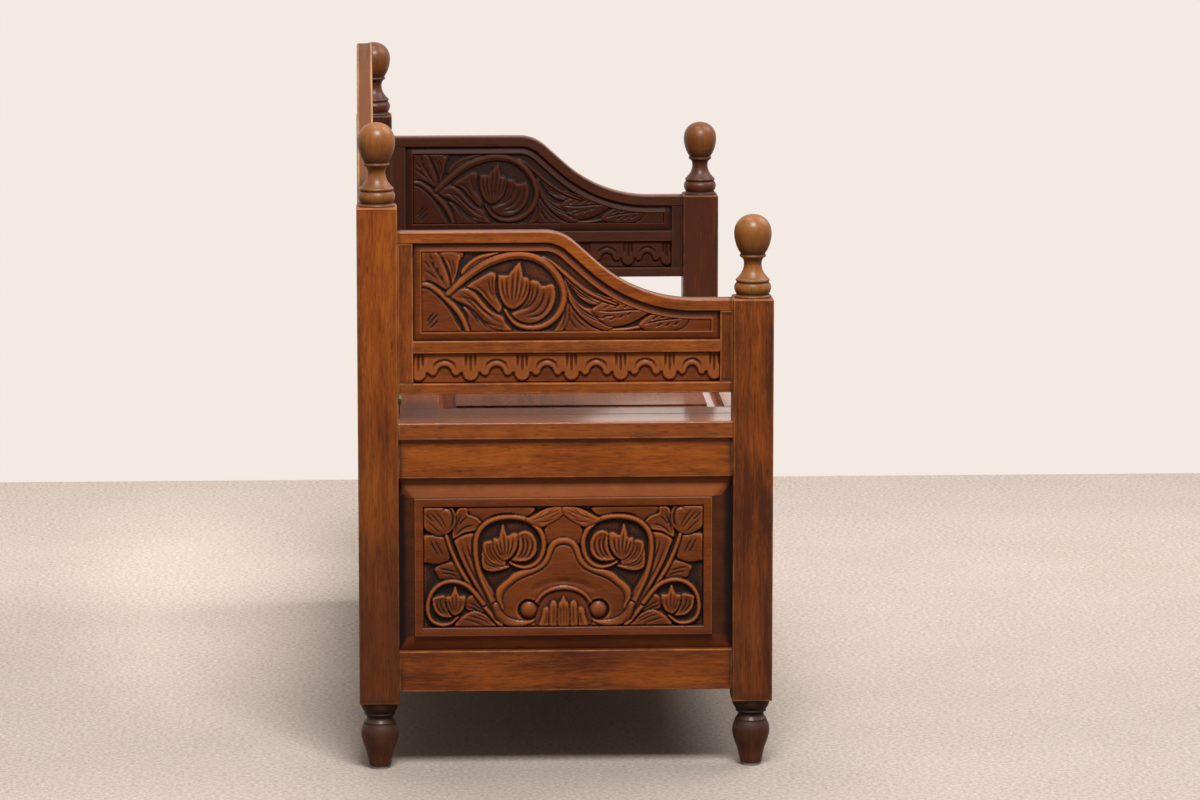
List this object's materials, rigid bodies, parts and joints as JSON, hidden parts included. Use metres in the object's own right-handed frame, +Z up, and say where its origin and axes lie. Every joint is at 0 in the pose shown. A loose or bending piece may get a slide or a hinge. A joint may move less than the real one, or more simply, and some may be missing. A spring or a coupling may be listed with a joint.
{
  "type": "carved hall bench",
  "caption": "Carved wooden hall bench with ball-topped posts, S-curved panelled arms, an arched back and a hinged seat lid over a storage box.",
  "frame": {"origin": "centre of the footprint, on the floor", "axes": "+X along the bench, towards the right of someone facing its front; -Y out of the front; +Z up"},
  "size_m": [1.1, 0.515, 0.8559],
  "materials": {
    "frame_wood": "stained satin",
    "carved_wood": "stained satin, dark in the recesses",
    "seat_wood": "stained semi-gloss",
    "finial_wood": "stained satin, lighter",
    "foot_wood": "dark stain",
    "inner_board": "plain",
    "hinge_brass": "aged",
    "screw_steel": "dull",
    "glide_plastic": "grey nylon"
  },
  "bodies": {
    "carcass": {"back_bottom_rail": "frame_wood", "back_frieze": "carved_wood", "back_middle_rail": "frame_wood", "back_muntin": "frame_wood", "crest_rail": "frame_wood", "feet": "foot_wood", "finials": "finial_wood", "floor_battens": "inner_board", "floor_board": "inner_board", "front_bottom_rail": "frame_wood", "front_muntin": "frame_wood", "front_top_rail": "frame_wood", "glides": "glide_plastic", "hinge_fixed_leaves": "hinge_brass", "hinge_pins": "screw_steel", "hinge_strip_screws": "screw_steel", "left_arm_bottom_rail": "frame_wood", "left_arm_frieze": "carved_wood", "left_arm_front_stile": "frame_wood", "left_arm_middle_rail": "frame_wood", "left_arm_panel": "carved_wood", "left_arm_rear_stile": "frame_wood", "left_arm_top_rail": "frame_wood", "left_back_panel": "carved_wood", "left_back_stile": "frame_wood", "left_end_bottom_rail": "frame_wood", "left_end_panel": "carved_wood", "left_end_top_rail": "frame_wood", "left_front_panel": "carved_wood", "left_front_post": "frame_wood", "left_rear_post": "frame_wood", "left_seat_end_board": "seat_wood", "rear_bottom_rail": "frame_wood", "rear_panel": "inner_board", "rear_top_rail": "frame_wood", "right_arm_bottom_rail": "frame_wood", "right_arm_frieze": "carved_wood", "right_arm_front_stile": "frame_wood", "right_arm_middle_rail": "frame_wood", "right_arm_panel": "carved_wood", "right_arm_rear_stile": "frame_wood", "right_arm_top_rail": "frame_wood", "right_back_panel": "carved_wood", "right_back_stile": "frame_wood", "right_end_bottom_rail": "frame_wood", "right_end_panel": "carved_wood", "right_end_top_rail": "frame_wood", "right_front_panel": "carved_wood", "right_front_post": "frame_wood", "right_rear_post": "frame_wood", "right_seat_end_board": "seat_wood", "seat_rear_strip": "seat_wood"},
    "lid": {"lid_front_rail": "seat_wood", "lid_rear_rail": "seat_wood", "left_lid_stile": "seat_wood", "right_lid_stile": "seat_wood", "lid_panel": "seat_wood", "hinge_lid_leaves": "hinge_brass", "hinge_lid_screws": "screw_steel"}
  },
  "joints": [
    {"name": "lid_hinge", "type": "hinge", "parent": "carcass", "child": "lid", "pos_m": [0, 0.205, 0.4436], "axis": [-1, 0, 0], "range_deg": [0, 94]}
  ]
}
